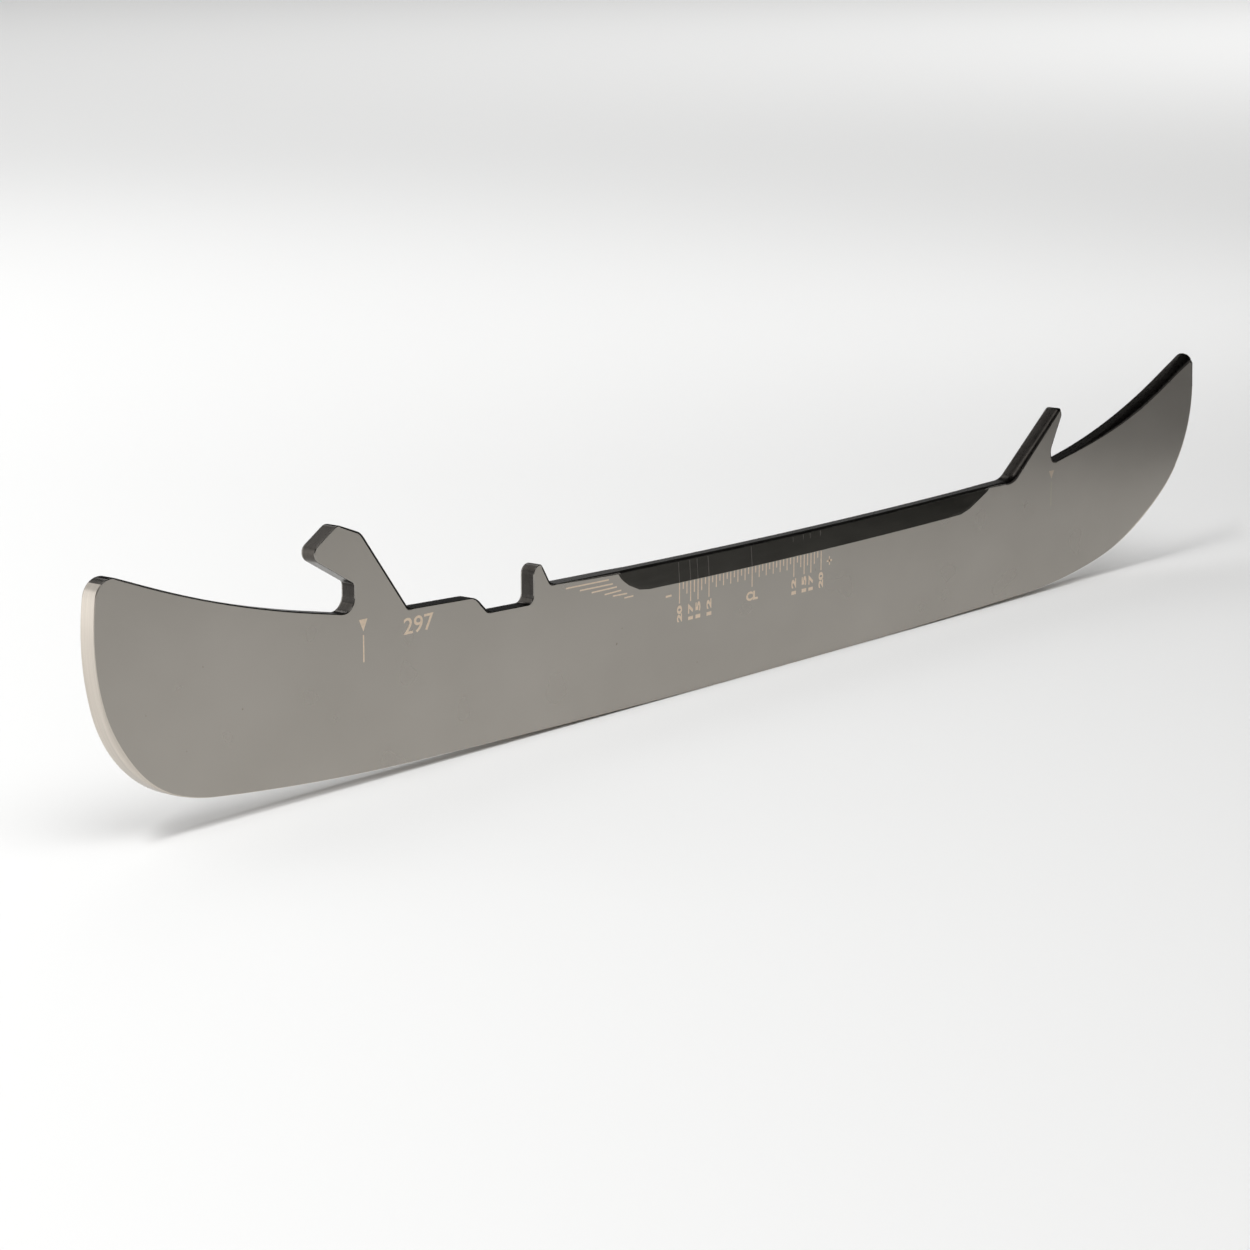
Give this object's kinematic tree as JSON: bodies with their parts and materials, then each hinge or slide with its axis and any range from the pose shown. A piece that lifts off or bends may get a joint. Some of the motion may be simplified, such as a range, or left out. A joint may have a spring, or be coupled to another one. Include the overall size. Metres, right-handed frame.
{
  "type": "hockey skate runner",
  "caption": "Flat steel hockey skate blade with a rockered running edge, swept ends, and a latch hook, a notched seat edge and a fixed hook that clip it into a skate holder.",
  "frame": {"origin": "level with the lowest point of the running edge, at mid length and mid thickness", "axes": "+X along the blade towards the fixed hook, +Y through the blade away from the marked face, +Z from the running edge up to the hooks"},
  "size_m": [0.2972, 0.003, 0.0408],
  "materials": {
    "ground_steel": "bare hardened steel, ground on the edges",
    "hard_coat": "polished dark grey hard coat, with paler etched marks"
  },
  "bodies": {
    "root": {"steel_runner": "ground_steel", "front_coat": "hard_coat", "back_coat": "hard_coat"}
  },
  "joints": []
}
